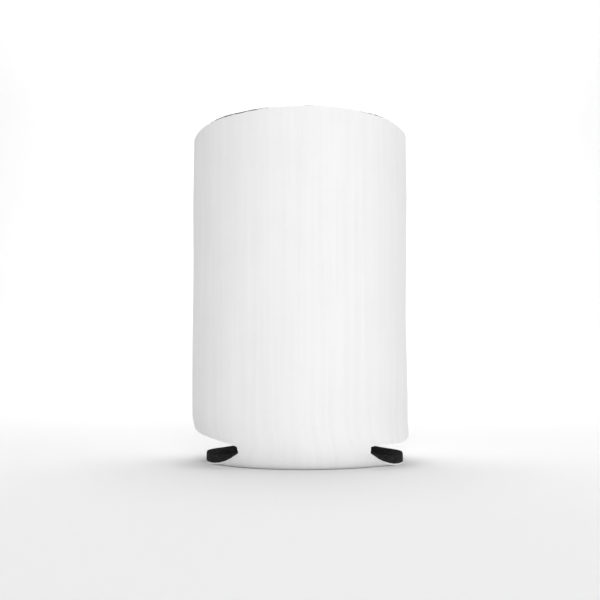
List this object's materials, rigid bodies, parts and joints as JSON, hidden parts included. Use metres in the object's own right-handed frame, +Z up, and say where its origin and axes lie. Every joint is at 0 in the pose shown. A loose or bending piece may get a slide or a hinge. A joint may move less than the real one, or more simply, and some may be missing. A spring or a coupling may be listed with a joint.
{
  "type": "can cooler",
  "caption": "Round open-topped foam sleeve with a fold-under base and notched lower sides, which keeps a drinks can cold and folds flat.",
  "frame": {"origin": "middle of the base's underside", "axes": "+Z up the sleeve towards its mouth, front panel faces -Y, side seams at -X and +X"},
  "size_m": [0.073, 0.073, 0.108],
  "materials": {
    "face_knit": "white brushed polyester knit, matt with a faint sheen",
    "black_foam": "black fine-pored foam, matt",
    "lining_knit": "black fine knit, matt",
    "needle_thread": "black twisted polyester thread",
    "bobbin_thread": "black twisted polyester thread"
  },
  "bodies": {
    "root": {"face_fabric": "face_knit", "foam_core": "black_foam", "inner_lining": "lining_knit", "left_seam_needle_thread": "needle_thread", "left_seam_bobbin_thread": "bobbin_thread", "right_seam_needle_thread": "needle_thread", "right_seam_bobbin_thread": "bobbin_thread"}
  },
  "joints": []
}
